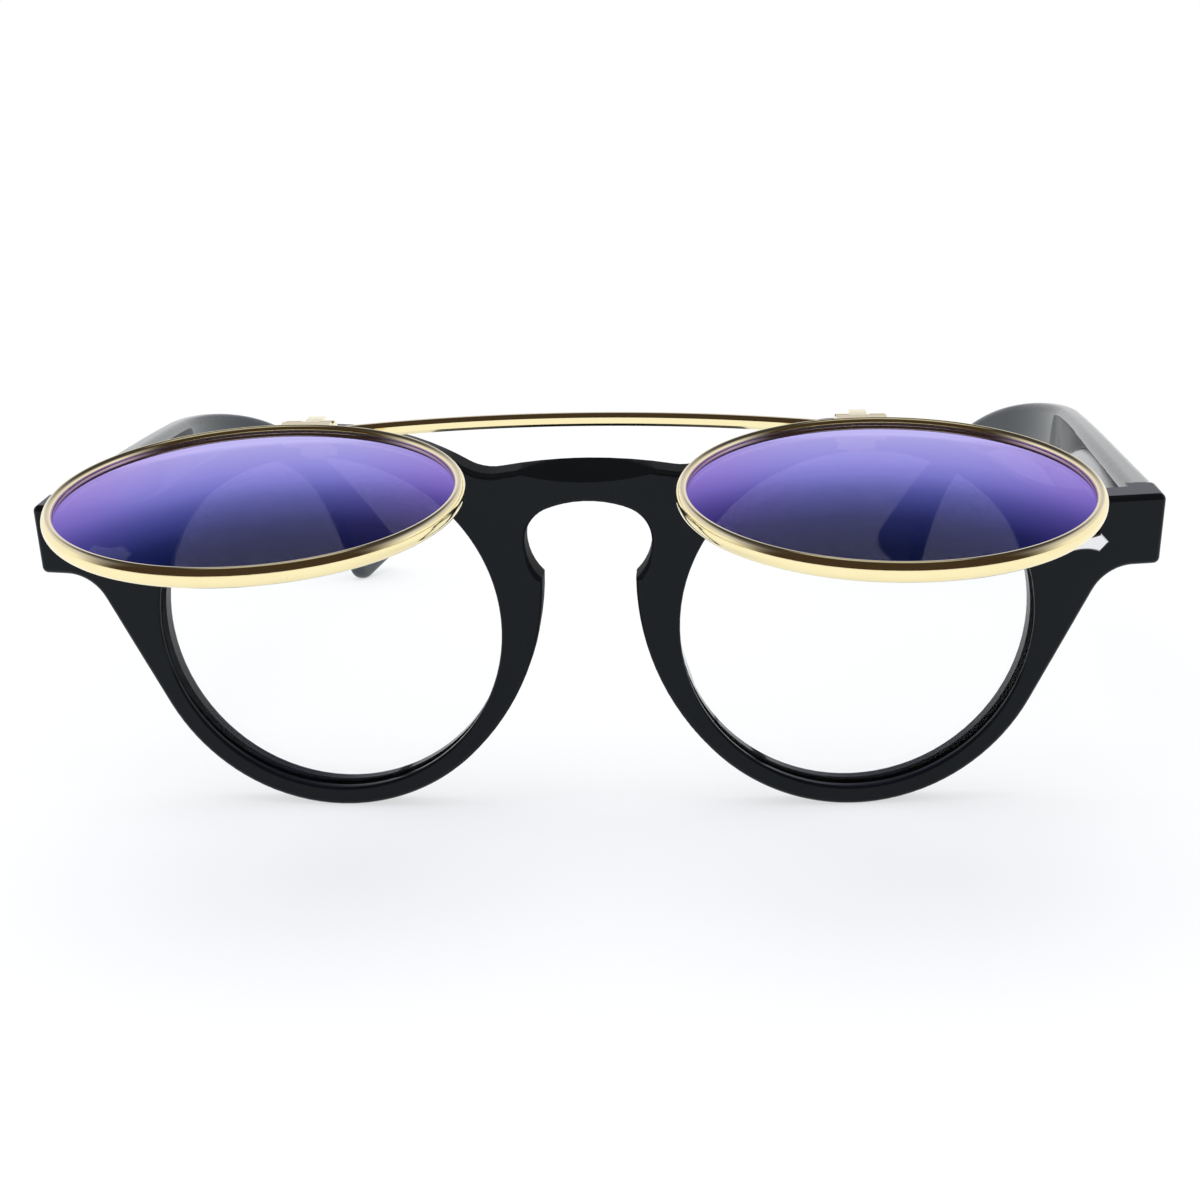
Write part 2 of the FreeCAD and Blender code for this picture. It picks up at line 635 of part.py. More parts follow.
# Temple hinge, left side: two knuckles on the front's leaf, one on the temple's, and a screw.
knuckle_pitch = size("knuckle_height") + size("knuckle_play")
hinge_height = 3 * size("knuckle_height") + 2 * size("knuckle_play")
hinge_height_cell = "3 * dims.knuckle_height + 2 * dims.knuckle_play"
hinge_foot = hinge_z - hinge_height / 2
middle_foot = hinge_foot + knuckle_pitch


def hinge_bore(name):
    deep = f"{hinge_height_cell} + 2 * dims.cut_over"
    place = at(pivot_x, pivot_y, hinge_foot - size("cut_over"))
    return rod(name, "dims.screw_radius + dims.pin_play", deep, place)


# The front's leaf lies along the back of the end piece, partly sunk in it.
leaf_depth = size("front_depth") + size("leaf_proud")
leaf_u = pivot_x - size("leaf_length") / 2 + leaf_depth * math.sin(wrap_angle(pivot_x))
leaf_rise = hinge_z - front_base.z - (wrap_sag(leaf_u) + leaf_depth) * math.sin(tilt)
leaf_v = leaf_rise / math.cos(tilt)
leaf_place = face_place(leaf_u, leaf_v, leaf_depth)
front_leaf_plate = box(
    "front_leaf_plate",
    "dims.leaf_length",
    hinge_height_cell,
    "dims.leaf_thickness",
    leaf_place.multiply(at(-size("leaf_length") / 2, -hinge_height / 2, 0)),
)
front_leaf_pieces = [front_leaf_plate]
neck_front = on_front(pivot_x, wrap_sag(pivot_x) + leaf_depth, leaf_v).y - size("leaf_thickness") / 2
for level in (0, 2):
    z = hinge_foot + level * knuckle_pitch
    knuckle = rod("front_knuckle", "dims.knuckle_radius", "dims.knuckle_height", at(pivot_x, pivot_y, z))
    neck = doc.addObject("Part::Box", "front_neck")
    neck.setExpression("Length", "dims.knuckle_radius")
    neck.Width = pivot_y - neck_front
    neck.setExpression("Height", "dims.knuckle_height")
    neck.Placement = at(pivot_x - size("knuckle_radius"), neck_front, z)
    front_leaf_pieces += [knuckle, neck]
front_leaf_blank = fuse("front_leaf_blank", front_leaf_pieces)
middle_room = rod(
    "middle_room",
    "dims.knuckle_radius + dims.knuckle_play",
    "dims.knuckle_height + 2 * dims.knuckle_play",
    at(pivot_x, pivot_y, middle_foot - size("knuckle_play")),
)
front_leaf_cuts = fuse("front_leaf_cuts", [hinge_bore("front_leaf_bore"), middle_room])
left_front_hinge_leaf = cut("left_front_hinge_leaf", front_leaf_blank, front_leaf_cuts)

# The temple's leaf lies along the temple's inner face, which turns away from the head.
draw = -math.radians(size("temple_splay"))
temple_leaf_place = Placement(Vector(temple_inner, butt_y, hinge_foot), Rotation(up, math.degrees(draw)))
leaf_start = size("knuckle_radius")
temple_leaf_plate = box(
    "temple_leaf_plate",
    "dims.leaf_thickness",
    "dims.leaf_length",
    hinge_height_cell,
    temple_leaf_place.multiply(at(-size("leaf_proud"), leaf_start, 0)),
)
middle_place = at(pivot_x, pivot_y, middle_foot)
middle_knuckle = rod("middle_knuckle", "dims.knuckle_radius", "dims.knuckle_height", middle_place)
middle_neck = box(
    "middle_neck",
    "dims.knuckle_inset - dims.knuckle_play",
    "2 * dims.knuckle_radius",
    "dims.knuckle_height",
    middle_place,
)
temple_leaf_blank = fuse("temple_leaf_blank", [temple_leaf_plate, middle_knuckle, middle_neck])
left_temple_hinge_leaf = cut("left_temple_hinge_leaf", temple_leaf_blank, hinge_bore("temple_leaf_bore"))

screw_top = hinge_foot + hinge_height
screw_shaft = rod(
    "screw_shaft",
    "dims.screw_radius",
    f"{hinge_height_cell} + dims.screw_head_height",
    at(pivot_x, pivot_y, hinge_foot),
)
screw_head_place = at(pivot_x, pivot_y, screw_top)
screw_head = rod("screw_head", "dims.screw_head_radius", "dims.screw_head_height", screw_head_place)
slot_floor = screw_top + size("screw_head_height") - size("slot_depth")
screw_slot = box(
    "screw_slot",
    "2 * dims.screw_head_radius + 2 * dims.cut_over",
    "dims.slot_width",
    "dims.slot_depth + dims.cut_over",
    at(
        pivot_x - size("screw_head_radius") - size("cut_over"),
        pivot_y - size("slot_width") / 2,
        slot_floor,
    ),
)
left_hinge_screw = cut("left_hinge_screw", fuse("screw_blank", [screw_shaft, screw_head]), screw_slot)

# Frame front: its outline cut from a plate that curves round the face, with end blocks at the joints.
outline_body = doc.addObject("PartDesign::Body", "front_prism")
outline_sketch = new_sketch(outline_body, "front_outline", "XZ_Plane")
front_outline(outline_sketch)
half_prism = pad(outline_body, "front_half", outline_sketch, "dims.end_reach + 2 * dims.joint_back", turned=True)
whole_prism = outline_body.newObject("PartDesign::Mirrored", "front_whole")
whole_prism.Originals = [half_prism]
whole_prism.MirrorPlane = (plane(outline_body, "YZ_Plane"), [""])
outline_body.Tip = whole_prism
outline_body.Placement = front_place

tall = "2 * dims.lens_opening"
wrap_axis = front_place.multiply(at(0, wrap, -size("lens_opening") / 4))
wrap_outer = rod("wrap_outer", "dims.wrap_radius", tall, wrap_axis)
wrap_inner = rod("wrap_inner", "dims.wrap_radius - dims.front_depth", tall, wrap_axis)
wrap_plate = cut("wrap_plate", wrap_outer, wrap_inner)
block_x = pivot_x + size("knuckle_radius") + size("block_play")
left_block = box(
    "left_block",
    "dims.temple_thickness + dims.knuckle_inset + dims.cut_over",
    "dims.end_block",
    "2 * dims.end_height",
    at(block_x, joint_y - size("end_block"), joint_bottom - size("end_height") / 2),
)
right_block = mirrored("right_block", left_block)
front_stock = fuse("front_stock", [wrap_plate, left_block, right_block])
front_blank = common("front_blank", outline_body, front_stock)


# Points along an edge in the front's own frame.
def front_points(edge):
    span = edge.LastParameter - edge.FirstParameter
    shares = (0.0, 0.3, 0.6, 1.0)
    return [front_place.inverse().multVec(edge.valueAt(edge.FirstParameter + share * span)) for share in shares]


def on_front_face(edge):
    return all(abs(math.hypot(point.x, point.y - wrap) - wrap) < 1e-4 for point in front_points(edge))


def on_end_corner(edge):
    points = front_points(edge)
    outermost = all(abs(point.x) > half_width - size("end_taper") - 1e-4 for point in points)
    level = max(point.z for point in points) - min(point.z for point in points) < 1e-4
    return outermost and level and not on_front_face(edge) and abs(points[0].y - points[-1].y) > size("edge_round")


def front_edge(edge):
    return on_front_face(edge) or on_end_corner(edge)


front_rounded = rounded("front_rounded", front_blank, size("edge_round"), front_edge)

# The bridge's top slopes down to the front, most in the middle.
bridge_top_v = lens_v + size("bridge_rise")
scoop_radius = "(dims.bridge_slope_half^2 + dims.bridge_slope^2) / (2 * dims.bridge_slope)"
scoop_tilt = math.degrees(math.atan2(size("bridge_slope"), size("front_depth")))
scoop_turn = Rotation(across, scoop_tilt - 90)
scoop_reach = 2 * size("front_depth")
scoop_foot = Placement(Vector(0, size("front_depth"), bridge_top_v), scoop_turn)
scoop_place = front_place.multiply(scoop_foot).multiply(at(0, -value_of(scoop_radius), -scoop_reach))
bridge_scoop = rod("bridge_scoop", scoop_radius, "4 * dims.front_depth", scoop_place)
front_scooped = cut("front_scooped", front_rounded, bridge_scoop)

# Nose pads, moulded on behind the rims.
pad_u = size("bridge_width") / 2 - size("pad_inset")
pad_v = lens_v + size("notch_level") - size("pad_drop")
pad_depth = wrap_sag(pad_u) + size("front_depth") / 2
left_pad = doc.addObject("Part::Ellipsoid", "left_pad")
left_pad.setExpression("Radius1", "dims.pad_height / 2")
left_pad.setExpression("Radius2", "dims.pad_thickness / 2")
left_pad.setExpression("Radius3", "dims.pad_reach")
pad_turn = Rotation(up, -size("pad_splay")).multiply(Rotation(back, -size("pad_lean")))
left_pad.Placement = front_place.multiply(Placement(Vector(pad_u, pad_depth, pad_v), pad_turn))
pad_front = box(
    "pad_front",
    "2 * dims.bridge_width",
    "dims.pad_reach",
    "2 * dims.pad_height",
    front_place.multiply(at(-size("bridge_width") / 2, pad_depth - size("pad_reach"), pad_v - size("pad_height"))),
)
left_pad_back = cut("left_pad_back", left_pad, pad_front)
right_pad_back = mirrored("right_pad_back", left_pad_back)
front_padded = fuse("front_padded", [front_scooped, left_pad_back, right_pad_back])

# Lens holes with softened front edges, then the lens grooves and the seats of all that is let in.
left_hole = rod(
    "left_hole",
    "dims.lens_opening / 2",
    "dims.front_depth + dims.pad_reach + 2 * dims.cut_over",
    face_place(lens_u, lens_v, size("front_depth") + size("pad_reach") + size("cut_over")),
)
right_hole = mirrored("right_hole", left_hole)
front_holed = cut("front_holed", front_padded, fuse("lens_holes", [left_hole, right_hole]))
hole_axis = face_place(lens_u, lens_v)


def on_hole_edge(edge):
    def reach(point):
        world = front_place.multVec(Vector(abs(point.x), point.y, point.z))
        flat = hole_axis.inverse().multVec(world)
        return math.hypot(flat.x, flat.y)

    round_hole = all(abs(reach(point) - size("lens_opening") / 2) < 1e-3 for point in front_points(edge))
    return round_hole and on_front_face(edge)


front_softened = rounded("front_softened", front_holed, size("hole_round"), on_hole_edge)
lens_groove = rod(
    "lens_groove",
    f"{lens_radius} + dims.seat_play",
    f"{lens_groove_cell} + 2 * dims.seat_play",
    face_place(lens_u, lens_v, lens_set + lens_edge[1] + size("seat_play")),
)
leaf_room = box(
    "leaf_room",
    "dims.leaf_length + 2 * dims.seat_play",
    f"{hinge_height_cell} + 6 * dims.seat_play",
    "dims.leaf_thickness + dims.seat_play + 4 * dims.cut_over",
    leaf_place.multiply(
        at(
            -size("leaf_length") / 2 - size("seat_play"),
            -hinge_height / 2 - 3 * size("seat_play"),
            -4 * size("cut_over"),
        )
    ),
)
lug_room = box(
    "lug_room",
    "dims.lug_plate_width + 2 * dims.seat_play",
    "dims.lug_plate_thickness + dims.seat_play",
    "dims.lug_plate_height + 2 * dims.seat_play",
    lug_part(-size("lug_plate_width") / 2 - size("seat_play"), foot_front, foot_z - size("seat_play")),
)
lug_hole = rod(
    "lug_hole",
    "dims.lug_pin_radius + dims.seat_play",
    "dims.lug_plate_thickness + dims.lug_pin_length + dims.seat_play",
    lug_part(0, foot_front, -size("lug_plate_drop"), turn_back),
)
front_holes = plaque_holes("front_plaque", front_plaque_place)
left_cuts = fuse("left_cuts", [lens_groove, leaf_room, lug_room, lug_hole, *front_holes])
right_cuts = mirrored("right_cuts", left_cuts)
left_opened = cut("left_opened", front_softened, left_cuts)
frame_front = cut("frame_front", left_opened, right_cuts)

# Temple, left side: what its side view and its plan, each drawn out, have in common.
def slope_down(alias):
    angle = math.radians(size(alias))
    return Vector(0, math.cos(angle), -math.sin(angle)), Vector(0, math.sin(angle), math.cos(angle))


def arc_between(centre, first, last, radius):
    middle = centre + ((first - centre) + (last - centre)).normalize() * radius
    return Part.Arc(first, middle, last).toShape()


def temple_side():
    def station(name):
        return Vector(0, butt_y + size(f"{name}_back"), joint_top - size(f"{name}_fall"))

    top_start = Vector(0, butt_y, joint_top)
    low_start = Vector(0, butt_y, joint_bottom)
    shank_run, shank_out = slope_down("shank_angle")
    heel_run, heel_out = slope_down("heel_angle")
    tip_round = size("tip_round")
    rise = math.radians(size("tip_angle"))
    tip_run = Vector(0, math.cos(rise), math.sin(rise))
    tip_out = Vector(0, math.sin(rise), -math.cos(rise))
    heel = Vector(0, butt_y + size("heel_back"), tip_round)
    reach = size("temple_length") - size("heel_back") - tip_round
    toe = heel + tip_run * (reach / math.cos(rise))
    top_end = toe + shank_out * tip_round
    low_end = heel - heel_out * tip_round
    belly, elbow, shank = (station(name) for name in ("belly", "elbow", "shank"))
    top_line = Part.BSplineCurve()
    top_line.interpolate(
        Points=[top_start, belly, elbow, shank, top_end],
        InitialTangent=back,
        FinalTangent=shank_run,
    )
    belly_low = belly - up * size("belly_depth")
    elbow_low = elbow - up * size("elbow_depth")
    shank_low = shank - shank_out * size("shank_depth")
    low_line = Part.BSplineCurve()
    low_line.interpolate(
        Points=[low_start, belly_low, elbow_low, shank_low, low_end],
        InitialTangent=belly_low - low_start,
        FinalTangent=heel_run,
    )
    heel_corner = heel + tip_out * tip_round
    toe_corner = toe + tip_out * tip_round
    return Part.Wire([
        top_line.toShape(),
        arc_between(toe, top_end, toe_corner, tip_round),
        Part.makeLine(toe_corner, heel_corner),
        arc_between(heel, heel_corner, low_end, tip_round),
        low_line.toShape(),
        Part.makeLine(low_start, top_start),
    ])


def temple_plan():
    along = Vector(-math.sin(draw), math.cos(draw), 0)
    out = Vector(math.cos(draw), math.sin(draw), 0)
    foot = Vector(half_width, butt_y, -size("cut_over"))
    start = foot - along * size("cut_over")
    bend = foot + along * (size("temple_straight") / math.cos(draw))
    curl = size("temple_curl")
    centre = bend - out * curl
    tuck = math.radians(size("temple_tuck"))
    end_y = butt_y + size("temple_length") + size("cut_over")

    def on_curl(share):
        angle = draw + share * (tuck - draw)
        return Vector(math.cos(angle), math.sin(angle), 0)

    def inner(point, outward):
        share = (point.y - butt_y) / size("temple_length")
        thickness = size("temple_thickness") + share * (size("tip_thickness") - size("temple_thickness"))
        return point - outward * thickness

    tucked = on_curl(1.0)
    tail = centre + tucked * curl
    end = tail + Vector(-math.sin(tuck), math.cos(tuck), 0) * ((end_y - tail.y) / math.cos(tuck))
    stations = [(start, out)]
    stations += [(foot + (bend - foot) * share, out) for share in (0.0, 0.33, 0.67, 1.0)]
    stations += [(centre + on_curl(share) * curl, on_curl(share)) for share in (0.2, 0.4, 0.6, 0.8)]
    stations += [(tail + (end - tail) * share, tucked) for share in (0.0, 0.33, 0.67, 1.0)]
    inner_points = [inner(point, outward) for point, outward in stations]
    inner_line = Part.BSplineCurve()
    inner_line.interpolate(Points=inner_points)
    return Part.Wire([
        Part.makeLine(start, bend),
        Part.Arc(bend, centre + on_curl(0.5) * curl, tail).toShape(),
        Part.makeLine(tail, end),
        Part.makeLine(end, inner_points[-1]),
        inner_line.toShape(),
        Part.makeLine(inner_points[0], start),
    ])


def drawn_out(name, wire, direction, length):
    profile = doc.addObject("Part::Feature", f"{name}_profile")
    profile.Shape = Part.Face(wire)
    item = doc.addObject("Part::Extrusion", name)
    item.Base = profile
    item.DirMode = "Custom"
    item.Dir = direction
    item.setExpression("LengthFwd", length)
    item.Solid = True
    return item


side_prism = drawn_out("side_prism", temple_side(), across, "2 * dims.lens_opening + dims.end_reach")
plan_prism = drawn_out("plan_prism", temple_plan(), up, "2 * dims.lens_opening")
temple_blank = common("temple_blank", side_prism, plan_prism)


def on_temple_rim(edge):
    ends = (edge.valueAt(edge.FirstParameter), edge.valueAt(edge.LastParameter))
    return abs(ends[0].y - ends[1].y) > 0.5


temple_rounded = rounded("temple_rounded", temple_blank, size("temple_round"), on_temple_rim)
temple_along = Vector(-math.sin(draw), math.cos(draw), 0)
temple_out = Vector(math.cos(draw), math.sin(draw), 0)
plaque_back = size("temple_plaque_back")
plaque_point = Vector(
    half_width - plaque_back * math.tan(draw),
    butt_y + plaque_back,
    hinge_z - size("temple_plaque_drop"),
)
temple_plaque_place = Placement(plaque_point, Rotation(temple_along, up, temple_out, "ZXY"))
left_temple_plaque = plaque("left_temple_plaque", temple_plaque_place)
temple_leaf_room = box(
    "temple_leaf_room",
    "dims.leaf_thickness + dims.seat_play + dims.cut_over",
    "dims.leaf_length + 2 * dims.seat_play",
    f"{hinge_height_cell} + 2 * dims.seat_play",
    temple_leaf_place.multiply(
        at(
            -size("leaf_proud") - size("cut_over"),
            leaf_start - size("seat_play"),
            -size("seat_play"),
        )
    ),
)
temple_holes = plaque_holes("temple_plaque", temple_plaque_place)
temple_cuts = fuse("temple_cuts", [temple_leaf_room, *temple_holes])
left_temple = cut("left_temple", temple_rounded, temple_cuts)

# Flip-up front, drawn as it hangs from its axis and then raised.
flip_turn = Rotation(across, size("front_tilt") - size("flip_angle"))
flip_place = Placement(on_front(0, axis_depth, axis_v), flip_turn)
arm = size("flip_rim_outer") / 2 + size("axis_to_rim")
rim_turn = Rotation(across, 90)
rim_place = flip_place.multiply(Placement(Vector(flip_u, -size("rim_forward"), -arm), rim_turn))
half_rim = "dims.flip_rim_width / 2"
crown_arc = "(dims.flip_rim_width^2 / 4 + dims.flip_rim_crown^2) / (2 * dims.flip_rim_crown)"
rim_shoulder = "dims.flip_rim_outer / 2 - dims.flip_rim_crown"
rim_inner = "(dims.flip_rim_outer / 2 - dims.flip_rim_wall)"
mirror_radius = f"({rim_inner} + dims.flip_groove - dims.seat_play)"
mirror_edge_cell = edge_cell(mirror_radius, mirror_radius, "dims.mirror_curve", "dims.mirror_thickness")
mirror_groove_cell = edge_cell(rim_inner, mirror_radius, "dims.mirror_curve", "dims.mirror_thickness")
groove_back = f"-(({mirror_edge_cell}) / 2 + dims.seat_play + dims.mirror_set)"
groove_front = f"({groove_back} + {mirror_groove_cell} + 2 * dims.seat_play)"


def turned_body(name, corners, place, sweep=360.0):
    body = doc.addObject("PartDesign::Body", name)
    sketch = new_sketch(body, f"{name}_profile", "XZ_Plane")
    pinned_outline(sketch, corners)
    spin = body.newObject("PartDesign::Revolution", f"{name}_spin")
    spin.Profile = sketch
    spin.ReferenceAxis = (plane(body, "Z_Axis"), [""])
    spin.Angle = sweep
    spin.Midplane = True
    body.Placement = place
    return body


left_flip_rim = turned_body(
    "left_flip_rim",
    [
        (rim_shoulder, f"-{half_rim}", crown_arc),
        (rim_shoulder, half_rim),
        (f"{rim_inner} + dims.flip_rim_lip", half_rim, "dims.flip_rim_lip"),
        (rim_inner, f"{half_rim} - dims.flip_rim_lip"),
        (rim_inner, groove_front),
        (f"{rim_inner} + dims.flip_groove", groove_front),
        (f"{rim_inner} + dims.flip_groove", groove_back),
        (rim_inner, groove_back),
        (rim_inner, f"dims.flip_rim_hem - {half_rim}", "dims.flip_rim_hem"),
        (f"{rim_inner} + dims.flip_rim_hem", f"-{half_rim}"),
    ],
    rim_place,
)
mirror_edge = edge_depths(value_of(mirror_radius), size("mirror_curve"), size("mirror_thickness"))
left_mirror_lens = meniscus(
    "left_mirror_lens",
    mirror_radius,
    "dims.mirror_curve",
    "dims.mirror_thickness",
    rim_place.multiply(at(0, 0, sum(mirror_edge) / 2 - size("mirror_set"))),
)

# The foot of the hinge ears is shaped to this stand-in for the rim's outside.
guard_shoulder = f"{rim_shoulder} + dims.solder_gap"
left_guard = turned_body(
    "left_guard",
    [
        ("0", f"-{half_rim}"),
        (guard_shoulder, f"-{half_rim}", crown_arc),
        (guard_shoulder, half_rim),
        ("0", half_rim),
    ],
    rim_place,
)

# Ears of the left flip hinge, one each side of the lug, on a common foot.
flip_hinge_half = size("lug_width") / 2 + size("ear_play") + size("ear_width")
flip_hinge_cell = "(dims.lug_width + 2 * dims.ear_play + 2 * dims.ear_width)"
foot_deep = "(dims.axis_to_rim + dims.flip_rim_wall / 2)"
foot_start = -size("rim_forward") - size("ear_foot") / 2
hinge_place = flip_place.multiply(at(hinge_u, 0, 0))


def hinge_part(x, y, z, turn=Rotation()):
    return hinge_place.multiply(Placement(Vector(x, y, z), turn))


ear_pieces = [
    box(
        "ear_foot",
        flip_hinge_cell,
        "dims.ear_foot",
        f"{foot_deep} - dims.foot_top",
        hinge_part(-flip_hinge_half, foot_start, -value_of(foot_deep)),
    )
]
for ear_left in (-flip_hinge_half, flip_hinge_half - size("ear_width")):
    ear_round = rod("ear_round", "dims.ear_radius", "dims.ear_width", hinge_part(ear_left, 0, 0, turn_across))
    ear_stem = box(
        "ear_stem",
        "dims.ear_width",
        "dims.ear_radius + dims.ear_foot / 4",
        f"{foot_deep} - dims.ear_radius / 2",
        hinge_part(ear_left, -size("ear_radius"), -value_of(foot_deep)),
    )
    ear_pieces += [ear_round, ear_stem]
ear_bore = rod(
    "ear_bore",
    "dims.pivot_radius + dims.seat_play",
    f"{flip_hinge_cell} + 2 * dims.cut_over",
    hinge_part(-flip_hinge_half - size("cut_over"), 0, 0, turn_across),
)
ear_cuts = fuse("ear_cuts", [ear_bore, left_guard])
left_flip_knuckle = cut("left_flip_knuckle", fuse("ear_blank", ear_pieces), ear_cuts)

pivot_shaft = rod(
    "pivot_shaft",
    "dims.pivot_radius",
    f"{flip_hinge_cell} + dims.pivot_head_height",
    hinge_part(-flip_hinge_half, 0, 0, turn_across),
)
pivot_head_place = hinge_part(flip_hinge_half, 0, 0, turn_across)
pivot_head = rod("pivot_head", "dims.pivot_head_radius", "dims.pivot_head_height", pivot_head_place)
recess_x = flip_hinge_half + size("pivot_head_height") - size("slot_depth")
recess_half = size("pivot_radius")
recess_pieces = []
for sides in (("dims.slot_width", "2 * dims.pivot_radius"), ("2 * dims.pivot_radius", "dims.slot_width")):
    halves = [value_of(side) / 2 for side in sides]
    place = hinge_part(recess_x, -halves[0], -halves[1])
    recess_pieces.append(box("recess", "dims.slot_depth + dims.cut_over", sides[0], sides[1], place))
pivot_blank = fuse("pivot_blank", [pivot_shaft, pivot_head])
left_flip_screw = cut("left_flip_screw", pivot_blank, fuse("cross_recess", recess_pieces))

# Arched bar from rim to rim.
bar_half = "(dims.flip_spacing / 2 - dims.flip_rim_outer / 2 * sin(dims.bar_seat_angle * 1 deg))"
bar_curve = f"(({bar_half}^2 + dims.bar_rise^2) / (2 * dims.bar_rise))"
bar_seat = math.radians(size("bar_seat_angle"))
seat_reach = size("flip_rim_outer") / 2 + size("bar_thickness") / 4
bar_top = seat_reach * math.cos(bar_seat) - arm + size("bar_rise")
bar_radius = value_of(bar_curve)
bar_sweep = math.asin(value_of(bar_half) / bar_radius) + 1.5 * size("bar_thickness") / bar_radius
bar_low = f"{bar_curve} - dims.bar_thickness / 2"
bar_high = f"{bar_curve} + dims.bar_thickness / 2"
bar_side = "dims.bar_width / 2"
bar_turn = rim_turn.multiply(Rotation(up, 90))
bar_body = turned_body(
    "bar_body",
    [
        (f"{bar_low} + dims.bar_bevel", f"-{bar_side}"),
        (f"{bar_high} - dims.bar_bevel", f"-{bar_side}"),
        (bar_high, f"dims.bar_bevel - {bar_side}"),
        (bar_high, f"{bar_side} - dims.bar_bevel"),
        (f"{bar_high} - dims.bar_bevel", bar_side),
        (f"{bar_low} + dims.bar_bevel", bar_side),
        (bar_low, f"{bar_side} - dims.bar_bevel"),
        (bar_low, f"dims.bar_bevel - {bar_side}"),
    ],
    flip_place.multiply(Placement(Vector(0, -size("rim_forward"), bar_top - bar_radius), bar_turn)),
    2 * math.degrees(bar_sweep),
)
left_stop = rod(
    "left_stop",
    "dims.flip_rim_outer / 2 + dims.solder_gap",
    "2 * dims.flip_rim_width",
    rim_place.multiply(at(0, 0, -size("flip_rim_width"))),
)
right_stop = mirrored("right_stop", left_stop)
flip_bar = cut("flip_bar", bar_body, fuse("bar_stops", [left_stop, right_stop]))

# The right-hand pieces are the left-hand ones mirrored.
sided = [
    "clear_lens",
    "front_plaque",
    "front_hinge_leaf",
    "hinge_screw",
    "flip_bracket",
    "temple",
    "temple_hinge_leaf",
    "temple_plaque",
    "flip_rim",
    "mirror_lens",
    "flip_knuckle",
    "flip_screw",
]
for piece in sided:
    mirrored(f"right_{piece}", doc.getObject(f"left_{piece}"))
doc.recompute()

nodes = ["frame_front", "flip_bar"]
nodes += [f"{side}_{piece}" for piece in sided for side in ("left", "right")]
for item in doc.Objects:
    if {"Invalid", "Error"} & set(item.State):
        raise RuntimeError(f"{item.Label} did not build")
os.makedirs("parts", exist_ok=True)
for node in nodes:
    item = doc.getObject(node)
    item.Label = node
    shape = item.Shape
    if shape.isNull() or not shape.isValid() or len(shape.Solids) != 1:
        raise RuntimeError(f"{node} is not one sound solid")
    shape.exportStep(f"parts/{node}.step")
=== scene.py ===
import json
import math

import bmesh
import bpy
from mathutils import Matrix, Vector


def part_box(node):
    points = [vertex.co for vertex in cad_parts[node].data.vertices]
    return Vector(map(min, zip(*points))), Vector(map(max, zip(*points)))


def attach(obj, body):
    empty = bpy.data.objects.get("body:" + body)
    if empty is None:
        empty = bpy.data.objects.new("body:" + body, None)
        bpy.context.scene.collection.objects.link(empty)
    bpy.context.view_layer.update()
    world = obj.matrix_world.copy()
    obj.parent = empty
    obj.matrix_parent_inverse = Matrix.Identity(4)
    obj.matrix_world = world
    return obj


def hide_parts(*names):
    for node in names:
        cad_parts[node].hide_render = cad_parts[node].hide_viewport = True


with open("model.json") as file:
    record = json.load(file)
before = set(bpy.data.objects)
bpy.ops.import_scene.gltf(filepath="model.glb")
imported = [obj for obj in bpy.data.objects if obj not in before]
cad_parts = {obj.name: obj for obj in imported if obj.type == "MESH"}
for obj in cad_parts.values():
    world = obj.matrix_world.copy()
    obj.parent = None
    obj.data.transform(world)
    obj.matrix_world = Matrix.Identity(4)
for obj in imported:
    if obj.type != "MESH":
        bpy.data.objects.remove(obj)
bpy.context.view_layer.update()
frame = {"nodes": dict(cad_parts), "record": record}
scene = bpy.context.scene
scene.view_settings.view_transform = "Standard"
bpy.ops.object.select_all(action="DESELECT")

white = (1, 1, 1, 1)
flipMiddle = 0.0330  # metres from the middle of the nose to the middle of a flip-up lens


class Wire:  # one socket of a node tree, so that shader sums read as sums
    def __init__(self, tree, socket=None):
        self.tree = tree
        self.socket = socket

    def node(self, kind, settings=None, inputs=None, output=0):
        made = self.tree.nodes.new(kind)
        for key, value in (settings or {}).items():
            if key == "stops":
                ramp = made.color_ramp.elements
                while len(ramp) < len(value):
                    ramp.new(0.5)
                for stop, (place, colour) in zip(ramp, value):
                    stop.position = place
                    stop.color = colour
            else:
                setattr(made, key, value)
        for key, value in (inputs or {}).items():
            socket = self.pick(made.inputs, key)
            if isinstance(value, Wire):
                self.tree.links.new(value.socket, socket)
            else:
                socket.default_value = value
        return Wire(self.tree, self.pick(made.outputs, output) if len(made.outputs) else None)

    def pick(self, sockets, key):
        if isinstance(key, int):
            return sockets[key]
        return next(each for each in sockets if key in (each.identifier, each.name) and each.enabled)

    def sum(self, operation, first, second=0.0):
        return self.node("ShaderNodeMath", {"operation": operation}, {0: first, 1: second})

    def __add__(self, other):
        return self.sum("ADD", self, other)

    def __radd__(self, other):
        return self.sum("ADD", other, self)

    def __sub__(self, other):
        return self.sum("SUBTRACT", self, other)

    def __rsub__(self, other):
        return self.sum("SUBTRACT", other, self)

    def __mul__(self, other):
        return self.sum("MULTIPLY", self, other)

    def __rmul__(self, other):
        return self.sum("MULTIPLY", other, self)

    def __pow__(self, other):
        return self.sum("POWER", self, other)

    def __gt__(self, other):
        return self.sum("GREATER_THAN", self, other)

    def __lt__(self, other):
        return self.sum("LESS_THAN", self, other)


def newFinish(name):  # an empty material, its tree and its Object coordinates
    finish = bpy.data.materials.new(name)
    finish.use_nodes = True
    finish.node_tree.nodes.clear()
    tree = Wire(finish.node_tree)
    return finish, tree, tree.node("ShaderNodeTexCoord", output="Object")


def noiseOn(tree, place, perMetre, detail=2.0):  # grey noise, 0 to 1
    return tree.node("ShaderNodeTexNoise", {}, {"Vector": place, "Scale": perMetre, "Detail": detail}, "Fac")


def cloudsOn(tree, place, perMetre):  # softer noise with one more octave, for slow changes of tone
    return noiseOn(tree, place, perMetre, 3.0)


